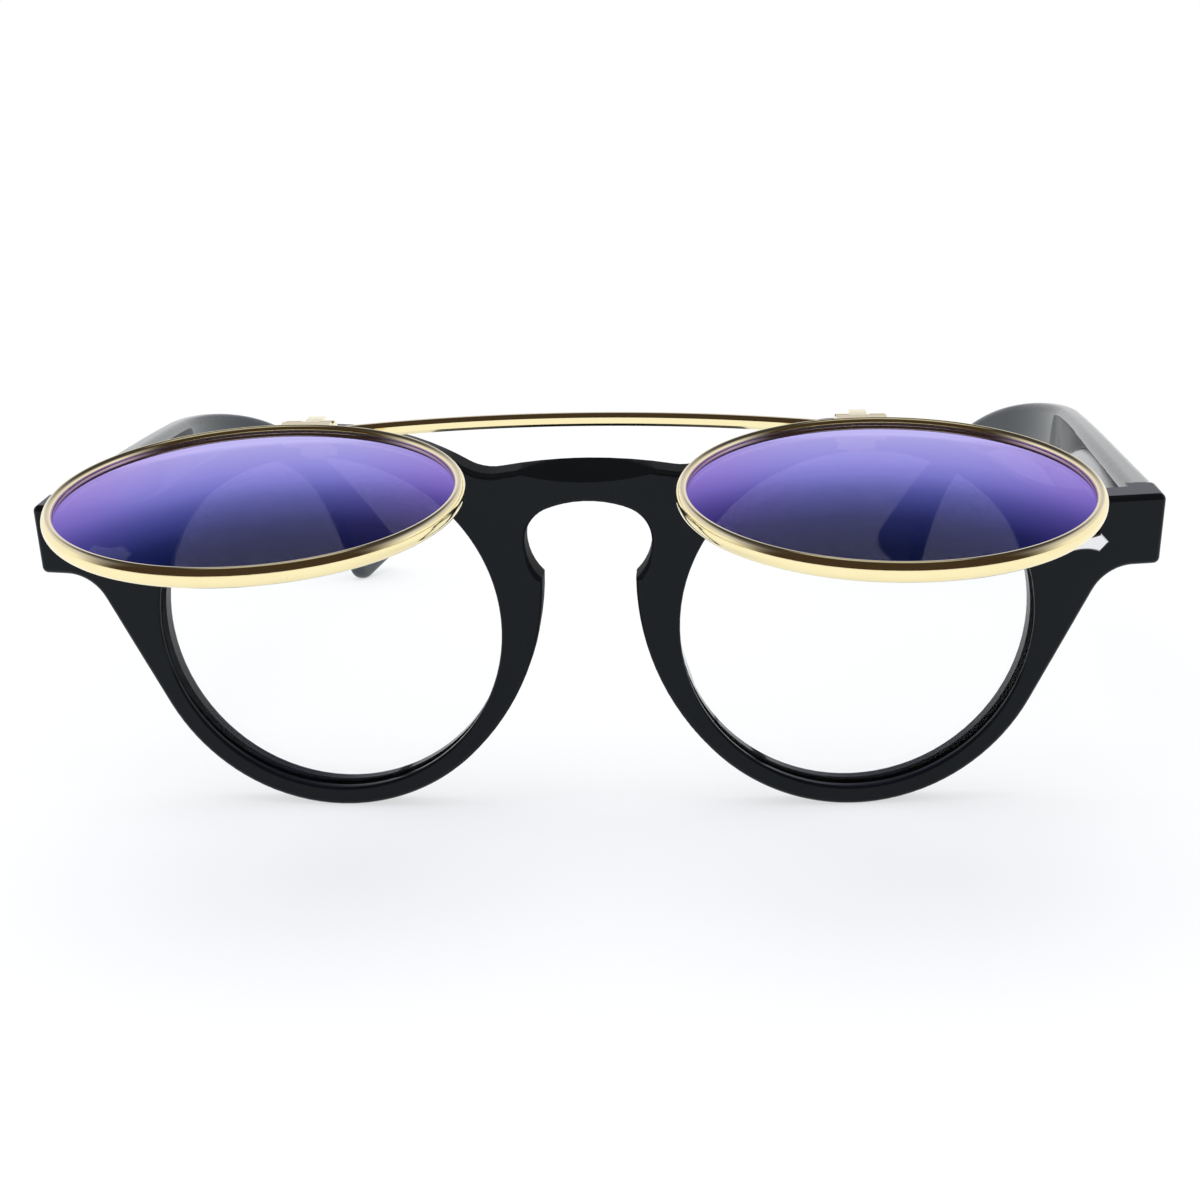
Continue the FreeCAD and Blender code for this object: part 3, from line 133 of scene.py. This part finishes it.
def blendColour(tree, share, first, second):
    return tree.node(
        "ShaderNodeMix", {"data_type": "RGBA"},
        {"Factor_Float": share, "A_Color": first, "B_Color": second}, "Result_Color",
    )


def stretched(tree, place, scale):
    return tree.node("ShaderNodeMapping", {}, {"Vector": place, "Scale": scale})


def axisOf(tree, vector, axis):
    return tree.node("ShaderNodeSeparateXYZ", {}, {"Vector": vector}, axis)


def between(tree, value, start, end, kind="LINEAR"):  # 0 at start, 1 at end, held beyond them
    return tree.node(
        "ShaderNodeMapRange", {"interpolation_type": kind},
        {"Value": value, "From Min": start, "From Max": end},
    )


def specks(tree, place, look):  # a few round specks, 0 or 1
    cells = {"Vector": place, "Scale": look["perMetre"]}
    distance = tree.node("ShaderNodeTexVoronoi", {}, cells, "Distance")
    chance = tree.node("ShaderNodeTexVoronoi", {}, cells, "Color")
    red = tree.node("ShaderNodeSeparateColor", {}, {"Color": chance}, "Red")
    return (distance < look["radius"]) * (red > 1.0 - look["share"])


blackPlastic = {  # polished black plastic of the front and the temples
    "colour": (0.0042, 0.0045, 0.0052, 1), "worn": (0.0085, 0.0088, 0.0098, 1), "wornShare": 0.6,
    "gloss": 0.03, "scuff": 0.05, "ior": 1.49,
    "specular": {"front": 0.16, "temple": 0.75}, "shine": (0.80, 0.92, 1.0, 1),
    "cloudsPerMetre": 160.0, "pitsPerMetre": 2600.0, "peel": 0.012, "peelDepth": 0.0002,
    "hairsPerMetre": 3800.0, "hairStretch": (1.0, 0.06, 1.0), "hairDetail": 1.0, "hairShare": 0.3,
    "dust": {"perMetre": 420.0, "radius": 0.055, "share": 0.02}, "dustPale": 0.35, "dustRough": 0.3,
}
bridgeEdge = {  # the brow and the keyhole are buffed less on their sawn edges; metres from the middle
    "lensMiddle": (0.0326, 0.0243), "lensReach": 0.0234, "dullTo": 0.016, "glossFrom": 0.022,
    "faceAt": 0.85, "edgeAt": 0.55,  # the forward part of the surface's direction, on a face and on an edge
    "rough": 0.5, "specular": 0.03,
}


def sawnEdges(tree, place):  # 1 on the sawn edges round the bridge, 0 on faces and in the lens openings
    aside = tree.sum("ABSOLUTE", axisOf(tree, place, "X"))
    middleX, middleZ = bridgeEdge["lensMiddle"]
    reach = (aside - middleX) ** 2.0 + (axisOf(tree, place, "Z") - middleZ) ** 2.0
    forward = tree.sum("ABSOLUTE", axisOf(tree, tree.node("ShaderNodeTexCoord", output="Normal"), "Y"))
    sawn = between(tree, forward, bridgeEdge["faceAt"], bridgeEdge["edgeAt"])
    near = between(tree, aside, bridgeEdge["glossFrom"], bridgeEdge["dullTo"])
    return sawn * near * (reach > bridgeEdge["lensReach"] ** 2.0)


def makeBlackPlastic(piece):
    look = blackPlastic
    finish, tree, place = newFinish("blackPlastic_" + piece)
    cloud = cloudsOn(tree, place, look["cloudsPerMetre"])
    pits = noiseOn(tree, place, look["pitsPerMetre"])
    hairs = noiseOn(
        tree, stretched(tree, place, look["hairStretch"]), look["hairsPerMetre"], look["hairDetail"],
    )
    dust = specks(tree, place, look["dust"])
    rubbed = cloud * (1.0 - look["hairShare"]) + hairs * look["hairShare"]
    share = rubbed * look["wornShare"] + dust * look["dustPale"]
    colour = blendColour(tree, share, look["colour"], look["worn"])
    rough = rubbed * look["scuff"] + look["gloss"] + dust * look["dustRough"]
    peel = tree.node("ShaderNodeBump", {}, {
        "Strength": look["peel"], "Distance": look["peelDepth"], "Height": (pits + cloud) * 0.5,
    })
    body = tree.node("ShaderNodeBsdfPrincipled", {}, {
        "Base Color": colour, "Roughness": rough, "Normal": peel, "IOR": look["ior"],
        "Specular IOR Level": look["specular"][piece], "Specular Tint": look["shine"],
    })
    if piece == "front":
        dull = tree.node("ShaderNodeBsdfPrincipled", {}, {
            "Base Color": colour, "Roughness": bridgeEdge["rough"], "Normal": peel, "IOR": look["ior"],
            "Specular IOR Level": bridgeEdge["specular"],
        })
        body = tree.node("ShaderNodeMixShader", {}, {0: sawnEdges(tree, place), 1: body, 2: dull})
    tree.node("ShaderNodeOutputMaterial", {}, {"Surface": body})
    return finish


paleGold = {  # polished pale gold of the flip-up front and its lugs
    "colour": (0.98, 0.88, 0.53, 1), "deep": (0.86, 0.68, 0.35, 1), "deepShare": 0.45,
    "gloss": 0.04, "lineRough": 0.06, "cloudRough": 0.03, "grain": 0.03, "grainDepth": 0.00005,
    "cloudsPerMetre": 210.0, "linesPerMetre": 5200.0, "lineStretch": (0.15, 1.0, 1.0),
    "spots": {"perMetre": 900.0, "radius": 0.10, "share": 0.03}, "spotDeep": 0.4,
}


def makePaleGold():
    look = paleGold
    finish, tree, place = newFinish("paleGold")
    cloud = cloudsOn(tree, place, look["cloudsPerMetre"])
    lines = noiseOn(tree, stretched(tree, place, look["lineStretch"]), look["linesPerMetre"])
    spots = specks(tree, place, look["spots"])
    share = cloud * look["deepShare"] + spots * look["spotDeep"]
    grain = tree.node("ShaderNodeBump", {}, {
        "Strength": look["grain"], "Distance": look["grainDepth"], "Height": lines,
    })
    body = tree.node("ShaderNodeBsdfPrincipled", {}, {
        "Base Color": blendColour(tree, share, look["colour"], look["deep"]), "Metallic": 1.0,
        "Roughness": lines * look["lineRough"] + cloud * look["cloudRough"] + look["gloss"], "Normal": grain,
    })
    tree.node("ShaderNodeOutputMaterial", {}, {"Surface": body})
    return finish


blueMirror = {  # mirror-coated sun lens: blue straight on, lavender at a slant, dark grey to look through
    "straight": (0.030, 0.090, 0.62, 1), "straightDeep": (0.022, 0.068, 0.55, 1),
    "slant": (0.50, 0.42, 1.0, 1), "slantDeep": (0.44, 0.36, 0.92, 1), "deepShare": 0.5,
    "turnFrom": 0.48, "turnTo": 0.83, "edgeTint": (0.90, 0.90, 1.0, 1),
    "sideStraight": (0.100, 0.030, 0.46, 1), "sideSlant": (0.48, 0.24, 0.86, 1), "sideShare": 0.75,
    "sideFrom": 0.006, "sideTo": 0.021,  # metres from a lens's middle, where the coat thins
    "through": (0.42, 0.40, 0.52, 1), "seeThrough": 0.085, "gloss": 0.02, "hazeRough": 0.03,
    "cloudsPerMetre": 70.0, "hazePerMetre": 1400.0,
    "dust": {"perMetre": 260.0, "radius": 0.035, "share": 0.05},
    "dustColour": (0.55, 0.58, 0.75, 1), "dustRough": 0.25, "dustThrough": 0.05,
}


def makeBlueMirror():
    look = blueMirror
    finish, tree, place = newFinish("blueMirror")
    cloud = cloudsOn(tree, place, look["cloudsPerMetre"])
    haze = noiseOn(tree, place, look["hazePerMetre"])
    dust = specks(tree, place, look["dust"])
    aside = tree.sum("ABSOLUTE", tree.sum("ABSOLUTE", axisOf(tree, place, "X")) - flipMiddle)
    side = between(tree, aside, look["sideFrom"], look["sideTo"], "SMOOTHSTEP") * look["sideShare"]
    deep = blendColour(tree, cloud * look["deepShare"], look["straight"], look["straightDeep"])
    deep = blendColour(tree, side, deep, look["sideStraight"])
    pale = blendColour(tree, cloud * look["deepShare"], look["slant"], look["slantDeep"])
    pale = blendColour(tree, side, pale, look["sideSlant"])
    coat = {
        "Metallic": 1.0, "Roughness": haze * look["hazeRough"] + look["gloss"] + dust * look["dustRough"],
        "Specular Tint": look["edgeTint"],
    }
    deep = blendColour(tree, dust, deep, look["dustColour"])
    straight = tree.node("ShaderNodeBsdfPrincipled", {}, {"Base Color": deep, **coat})
    slant = tree.node("ShaderNodeBsdfPrincipled", {}, {"Base Color": pale, **coat})
    facing = tree.node("ShaderNodeLayerWeight", output="Facing")
    turned = between(tree, facing, look["turnFrom"], look["turnTo"], "SMOOTHSTEP")
    mirror = tree.node("ShaderNodeMixShader", {}, {0: turned, 1: straight, 2: slant})
    tint = tree.node("ShaderNodeBsdfTransparent", {}, {"Color": look["through"]})
    coated = 1.0 - dust * look["dustThrough"] - look["seeThrough"]
    lens = tree.node("ShaderNodeMixShader", {}, {0: coated, 1: tint, 2: mirror})
    within = tree.node("ShaderNodeNewGeometry", output="Backfacing")  # light leaves by the far face untinted
    out = tree.node("ShaderNodeBsdfTransparent", {}, {"Color": white})
    both = tree.node("ShaderNodeMixShader", {}, {0: within, 1: lens, 2: out})
    tree.node("ShaderNodeOutputMaterial", {}, {"Surface": both})
    return finish


clearLens = {  # clear plastic lens: almost nothing but its gloss
    "tint": (0.995, 0.998, 0.998, 1), "dim": (0.88, 0.91, 0.94, 1), "bright": (0.95, 0.97, 0.98, 1),
    "gloss": 0.02, "hazeRough": 0.02, "hazePerMetre": 900.0, "ior": 1.45, "shine": 0.30,
    "dust": {"perMetre": 240.0, "radius": 0.03, "share": 0.04}, "dustRough": 0.2, "dustShine": 0.15,
}


def makeClearLens():
    look = clearLens
    finish, tree, place = newFinish("clearLens")
    haze = noiseOn(tree, place, look["hazePerMetre"])
    dust = specks(tree, place, look["dust"])
    shell = tree.node("ShaderNodeBsdfPrincipled", {}, {
        "Base Color": blendColour(tree, haze, look["dim"], look["bright"]), "Metallic": 1.0,
        "Roughness": haze * look["hazeRough"] + look["gloss"] + dust * look["dustRough"],
    })
    tint = tree.node("ShaderNodeBsdfTransparent", {}, {"Color": look["tint"]})
    edge = tree.node("ShaderNodeFresnel", {}, {"IOR": look["ior"]})
    share = edge * look["shine"] + dust * look["dustShine"]
    lens = tree.node("ShaderNodeMixShader", {}, {0: share, 1: tint, 2: shell})
    tree.node("ShaderNodeOutputMaterial", {}, {"Surface": lens})
    return finish


brightMetal = {  # silver plaques, and steel hinge leaves and screws
    "silver": {"colour": (0.86, 0.86, 0.87, 1), "deep": (0.66, 0.66, 0.68, 1), "gloss": 0.11, "lines": 0.10},
    "steel": {"colour": (0.62, 0.62, 0.64, 1), "deep": (0.42, 0.42, 0.44, 1), "gloss": 0.18, "lines": 0.16},
}
brushing = {  # the fine lines and clouds that both metals have
    "cloudsPerMetre": 500.0, "cloudDeep": 0.6, "linesPerMetre": 6000.0, "lineStretch": (1.0, 1.0, 0.1),
    "lineDeep": 0.2, "grain": 0.08, "grainDepth": 0.00005,
}


def makeBrightMetal(name):
    look = brightMetal[name]
    finish, tree, place = newFinish(name + "Metal")
    cloud = cloudsOn(tree, place, brushing["cloudsPerMetre"])
    lines = noiseOn(tree, stretched(tree, place, brushing["lineStretch"]), brushing["linesPerMetre"])
    share = cloud * brushing["cloudDeep"] + lines * brushing["lineDeep"]
    grain = tree.node("ShaderNodeBump", {}, {
        "Strength": brushing["grain"], "Distance": brushing["grainDepth"], "Height": lines,
    })
    body = tree.node("ShaderNodeBsdfPrincipled", {}, {
        "Base Color": blendColour(tree, share, look["colour"], look["deep"]), "Metallic": 1.0,
        "Roughness": lines * look["lines"] + look["gloss"], "Normal": grain,
    })
    tree.node("ShaderNodeOutputMaterial", {}, {"Surface": body})
    return finish


finishes = {
    "black_plastic": makeBlackPlastic("front"), "temple": makeBlackPlastic("temple"), "gold": makePaleGold(),
    "blue_mirror": makeBlueMirror(), "clear_lens": makeClearLens(),
    "silver": makeBrightMetal("silver"), "steel": makeBrightMetal("steel"),
}
print("finishes made:", len(finishes))

slotOf = {row["node"]: row["material_slot"] for row in frame["record"]["subparts"]}
bodyOf = {name: body for body, names in frame["record"]["behaviour"]["bodies"].items() for name in names}
polish = {"mergeWithin": 1e-7, "crease": 32.0, "goldCrease": 40.0}  # metres, then degrees
rimSpin = {"lean": 11.0, "steps": 480, "cutWithin": 1e-8}  # degrees, faces round a rim, metres


def spinRim(piece, name):  # the rim's own section, cut at the nose side and spun again in finer steps
    low, high = (Vector(corner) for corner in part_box(name))
    middle = (low + high) / 2
    side = math.copysign(1.0, middle.x)
    middle.x = side * flipMiddle
    lean = math.radians(rimSpin["lean"])
    axis = Vector((0, -math.sin(lean), math.cos(lean)))
    across = axis.cross(Vector((1, 0, 0)))
    bpy.ops.mesh.bisect(
        plane_co=middle, plane_no=across, threshold=rimSpin["cutWithin"], clear_inner=True, clear_outer=True,
    )
    section = bmesh.from_edit_mesh(piece.data)
    for point in section.verts:  # the section away from the nose goes
        point.select_set((point.co.x - middle.x) * side > 0)
    section.select_flush_mode()
    bmesh.update_edit_mesh(piece.data)
    bpy.ops.mesh.delete(type="VERT")
    bpy.ops.mesh.select_all(action="SELECT")
    print("rim section:", len(bmesh.from_edit_mesh(piece.data).verts), "points")
    bpy.ops.mesh.spin(
        steps=rimSpin["steps"], angle=2 * math.pi, center=middle, axis=axis, use_auto_merge=True,
    )
    bpy.ops.mesh.select_all(action="SELECT")
    bpy.ops.mesh.remove_doubles(threshold=polish["mergeWithin"])
    bpy.ops.mesh.normals_make_consistent(inside=False)


def polishedCopy(name):  # the solid with its facets smoothed, in place of the loose triangles
    bpy.ops.object.select_all(action="DESELECT")
    piece = bpy.data.objects.new(name + "_polished", frame["nodes"][name].data.copy())
    scene.collection.objects.link(piece)
    bpy.context.view_layer.objects.active = piece
    piece.select_set(True)
    bpy.ops.mesh.customdata_custom_splitnormals_clear()
    bpy.ops.object.mode_set(mode="EDIT")
    bpy.ops.mesh.select_all(action="SELECT")
    bpy.ops.mesh.remove_doubles(threshold=polish["mergeWithin"])
    if name.endswith("flip_rim"):
        spinRim(piece, name)
    bpy.ops.object.mode_set(mode="OBJECT")
    isGold = slotOf[name] == "gold"
    crease = polish["goldCrease" if isGold else "crease"]
    bpy.ops.object.shade_smooth_by_angle(angle=math.radians(crease))
    even = piece.modifiers.new("even", "WEIGHTED_NORMAL")
    even.keep_sharp = True
    if isGold:  # even rounds matter more on the metal than even flats
        even.mode = "CORNER_ANGLE"
    bpy.ops.object.modifier_apply(modifier=even.name)
    piece.data.materials.clear()
    isTemple = name in ("left_temple", "right_temple")
    piece.data.materials.append(finishes["temple" if isTemple else slotOf[name]])
    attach(piece, bodyOf[name])
    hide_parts(name)


for name in sorted(frame["nodes"]):
    polishedCopy(name)
print("polished copies made:", len(frame["nodes"]))

paleFloor = {  # soft shadows close by, plain white further out; metres
    "size": 6.0, "colour": (0.97, 0.975, 0.985, 1), "fadeFrom": 0.20, "fadeTo": 0.7, "glow": 0.62,
}


def makeFloor():
    look = paleFloor
    bpy.ops.object.select_all(action="DESELECT")
    bpy.ops.mesh.primitive_plane_add(size=look["size"], location=(0, 0, 0))
    floor = bpy.context.active_object
    floor.name = "floor"
    finish, tree, place = newFinish("paleFloor")
    reach = tree.node("ShaderNodeVectorMath", {"operation": "LENGTH"}, {0: place}, "Value")
    fade = between(tree, reach, look["fadeFrom"], look["fadeTo"], "SMOOTHSTEP")
    glow = fade * (1.0 - look["glow"]) + look["glow"]
    near = tree.node("ShaderNodeBsdfDiffuse", {}, {"Color": look["colour"]})
    far = tree.node("ShaderNodeEmission", {}, {"Color": white, "Strength": 1.0})
    mixed = tree.node("ShaderNodeMixShader", {}, {0: glow, 1: near, 2: far})
    tree.node("ShaderNodeOutputMaterial", {}, {"Surface": mixed})
    floor.data.materials.append(finish)


studioSky = {  # what polished pieces mirror, by its rise over the horizon, and the plain light of the day
    "backdrop": [
        (0.0, white), (0.285, (0.98, 0.98, 1.0, 1)), (0.31, (0.80, 0.80, 0.88, 1)),
        (0.45, (0.74, 0.74, 0.86, 1)), (0.515, (0.62, 0.62, 0.76, 1)), (0.585, (0.36, 0.36, 0.46, 1)),
        (0.675, (0.125, 0.125, 0.155, 1)), (0.75, (0.055, 0.053, 0.062, 1)),
        (0.93, (0.045, 0.040, 0.036, 1)), (0.965, (0.62, 0.63, 0.66, 1)),
    ],
    "room": (0.050, 0.033, 0.022, 1), "roomTo": -0.45, "backdropFrom": 0.15,  # dark behind the camera
    "day": (0.94, 0.97, 1.0, 1), "dayLevel": 0.95,
}


def makeSky():
    look = studioSky
    sky = bpy.data.worlds.new("studioSky")
    scene.world = sky
    sky.use_nodes = True
    sky.node_tree.nodes.clear()
    tree = Wire(sky.node_tree)
    way = tree.node("ShaderNodeTexCoord", output="Generated")
    rise = axisOf(tree, way, "Z")
    backdrop = tree.node("ShaderNodeValToRGB", {"stops": look["backdrop"]}, {"Fac": rise}, "Color")
    behind = between(tree, axisOf(tree, way, "Y"), look["roomTo"], look["backdropFrom"], "SMOOTHSTEP")
    around = blendColour(tree, behind, look["room"], backdrop)
    shown = tree.node("ShaderNodeLightPath", output="Is Camera Ray")
    clear = tree.node("ShaderNodeLightPath", output="Is Transmission Ray")
    glossy = tree.node("ShaderNodeLightPath", output="Is Glossy Ray")
    plain = tree.node("ShaderNodeBackground", {}, {"Color": white, "Strength": 1.0})
    mirrored = tree.node("ShaderNodeBackground", {}, {"Color": around, "Strength": 1.0})
    day = tree.node("ShaderNodeBackground", {}, {"Color": look["day"], "Strength": look["dayLevel"]})
    light = tree.node("ShaderNodeMixShader", {}, {0: glossy, 1: day, 2: mirrored})
    seen = tree.node("ShaderNodeMixShader", {}, {0: tree.sum("MAXIMUM", shown, clear), 1: light, 2: plain})
    tree.node("ShaderNodeOutputWorld", {}, {"Surface": seen})


softLamp = {"size": 0.9, "power": 2.9, "place": (-0.12, -0.25, 0.92), "aim": (0, 0, 0.02)}  # metres, watts


def makeLamp():
    lamp = bpy.data.lights.new("softLamp", "AREA")
    lamp.shape = "DISK"
    lamp.size = softLamp["size"]
    lamp.energy = softLamp["power"]
    holder = bpy.data.objects.new("softLamp", lamp)
    holder.location = softLamp["place"]
    aim = Vector(softLamp["aim"]) - holder.location
    holder.rotation_euler = aim.to_track_quat("-Z", "Y").to_euler()
    holder.visible_glossy = False  # polished metal shows the room, not the lamp
    scene.collection.objects.link(holder)


makeFloor()
makeSky()
makeLamp()
print("studio set")

photoCamera = {  # where the photograph was taken from, in metres
    "place": (0.01364, -0.26981, 0.07706), "ahead": (-0.0552, 0.9739, -0.2203),
    "above": (0.0076, 0.2211, 0.9752), "nearest": 0.005, "farthest": 50.0,
    "focalPixels": 1836.6, "framePixels": 1200.0, "sensor": 36.0,
}


def makeCamera():
    lens = bpy.data.cameras.new("photoCamera")
    lens.sensor_width = photoCamera["sensor"]
    lens.lens = photoCamera["focalPixels"] / photoCamera["framePixels"] * photoCamera["sensor"]
    lens.clip_start = photoCamera["nearest"]
    lens.clip_end = photoCamera["farthest"]
    ahead = Vector(photoCamera["ahead"]).normalized()
    side = ahead.cross(Vector(photoCamera["above"])).normalized()
    above = side.cross(ahead)
    turn = Matrix((side, above, -ahead)).transposed().to_4x4()
    holder = bpy.data.objects.new("photoCamera", lens)
    holder.matrix_world = Matrix.Translation(photoCamera["place"]) @ turn
    scene.collection.objects.link(holder)
    scene.camera = holder


makeCamera()
print("camera set")
